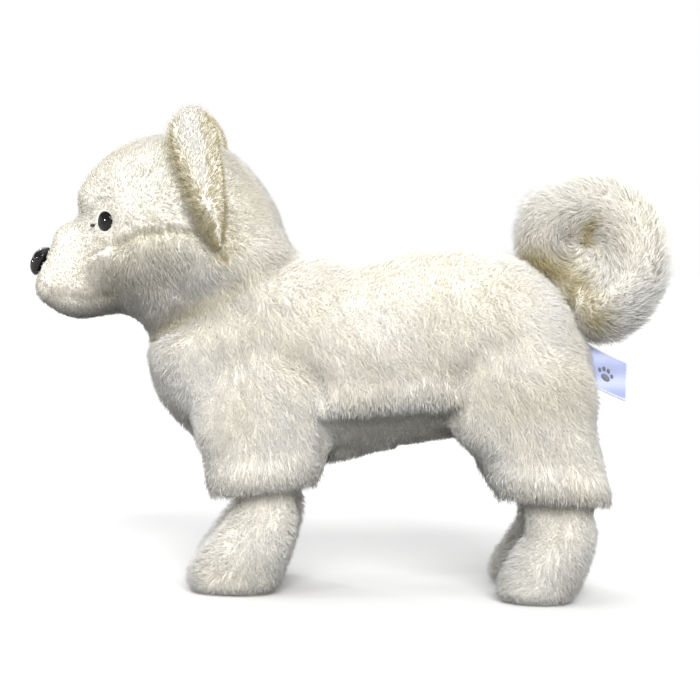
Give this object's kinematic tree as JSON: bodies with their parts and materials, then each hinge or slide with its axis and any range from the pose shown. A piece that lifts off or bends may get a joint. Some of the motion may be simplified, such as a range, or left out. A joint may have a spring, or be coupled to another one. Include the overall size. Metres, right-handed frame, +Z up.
{
  "type": "plush dog",
  "caption": "Standing plush dog in cream fur with upright ears, a curled tail, glossy safety eyes and nose, and stuffed legs that give at the shoulders and hips.",
  "frame": {"origin": "centre of the footprint of the bounding box, on the surface that the soles stand on", "axes": "+Z up, nose towards -X, tail towards +X, the dog's left side at -Y"},
  "size_m": [0.3576, 0.107, 0.268],
  "materials": {
    "long_fur": "matte",
    "short_fur": "matte",
    "ear_lining": "matte",
    "sole_cloth": "matte",
    "filling": "matte",
    "eye": "gloss",
    "nose": "gloss",
    "washer": "satin",
    "label": "satin",
    "black_thread": "matte",
    "white_thread": "matte"
  },
  "bodies": {
    "torso": {"torso_filling": "filling", "side_panel_left": "long_fur", "side_panel_right": "long_fur", "belly_panel": "long_fur", "closing_stitches": "white_thread", "woven_label": "label"},
    "neck": {"neck_filling": "filling", "neck_collar": "long_fur"},
    "head": {"head_filling": "filling", "cheek_panel_left": "short_fur", "cheek_panel_right": "short_fur", "head_gusset": "short_fur", "chin_panel": "short_fur", "eye_left": "eye", "eye_right": "eye", "eye_washer_left": "washer", "eye_washer_right": "washer", "nose_button": "nose", "nose_washer": "washer", "face_stitches": "black_thread"},
    "ear_left": {"ear_fur_left": "short_fur", "ear_lining_left": "ear_lining"},
    "ear_right": {"ear_fur_right": "short_fur", "ear_lining_right": "ear_lining"},
    "front_leg_left": {"front_sleeve_outer_left": "long_fur", "front_sleeve_inner_left": "long_fur", "front_paw_left": "short_fur", "front_sole_left": "sole_cloth", "front_filling_left": "filling"},
    "front_leg_right": {"front_sleeve_outer_right": "long_fur", "front_sleeve_inner_right": "long_fur", "front_paw_right": "short_fur", "front_sole_right": "sole_cloth", "front_filling_right": "filling"},
    "hind_leg_left": {"hind_sleeve_outer_left": "long_fur", "hind_sleeve_inner_left": "long_fur", "hind_paw_left": "short_fur", "hind_sole_left": "sole_cloth", "hind_filling_left": "filling"},
    "hind_leg_right": {"hind_sleeve_outer_right": "long_fur", "hind_sleeve_inner_right": "long_fur", "hind_paw_right": "short_fur", "hind_sole_right": "sole_cloth", "hind_filling_right": "filling"},
    "tail": {"tail_filling": "filling", "tail_panel_left": "long_fur", "tail_panel_right": "long_fur"}
  },
  "joints": [
    {"name": "head_turn", "type": "hinge", "parent": "torso", "child": "neck", "pos_m": [-0.068, 0, 0.167], "axis": [-0.515, 0, 0.8572], "range_deg": [-20, 20], "stiffness_Nm_per_rad": 0.8},
    {"name": "head_nod", "type": "hinge", "parent": "neck", "child": "head", "pos_m": [-0.068, 0, 0.167], "axis": [0, 1, 0], "range_deg": [-9, 9], "stiffness_Nm_per_rad": 1.6},
    {"name": "ear_left_fold", "type": "hinge", "parent": "head", "child": "ear_left", "pos_m": [-0.089, -0.0423, 0.222], "axis": [0.404, -0.231, -0.8851], "range_deg": [-2, 25], "stiffness_Nm_per_rad": 0.05},
    {"name": "ear_right_fold", "type": "hinge", "parent": "head", "child": "ear_right", "pos_m": [-0.089, 0.0423, 0.222], "axis": [-0.404, -0.231, 0.8851], "range_deg": [-2, 25], "stiffness_Nm_per_rad": 0.05},
    {"name": "front_leg_left_swing", "type": "hinge", "parent": "torso", "child": "front_leg_left", "pos_m": [-0.044, -0.033, 0.1], "axis": [0, 1, 0], "range_deg": [-12, 12], "stiffness_Nm_per_rad": 2.5},
    {"name": "front_leg_right_swing", "type": "hinge", "parent": "torso", "child": "front_leg_right", "pos_m": [-0.044, 0.033, 0.1], "axis": [0, 1, 0], "range_deg": [-12, 12], "stiffness_Nm_per_rad": 2.5},
    {"name": "hind_leg_left_swing", "type": "hinge", "parent": "torso", "child": "hind_leg_left", "pos_m": [0.098, -0.033, 0.108], "axis": [0, 1, 0], "range_deg": [-12, 12], "stiffness_Nm_per_rad": 2.5},
    {"name": "hind_leg_right_swing", "type": "hinge", "parent": "torso", "child": "hind_leg_right", "pos_m": [0.098, 0.033, 0.108], "axis": [0, 1, 0], "range_deg": [-12, 12], "stiffness_Nm_per_rad": 2.5},
    {"name": "tail_wag", "type": "hinge", "parent": "torso", "child": "tail", "pos_m": [0.12657, 0, 0.16643], "axis": [0, 0, 1], "range_deg": [-20, 20], "stiffness_Nm_per_rad": 0.3}
  ]
}
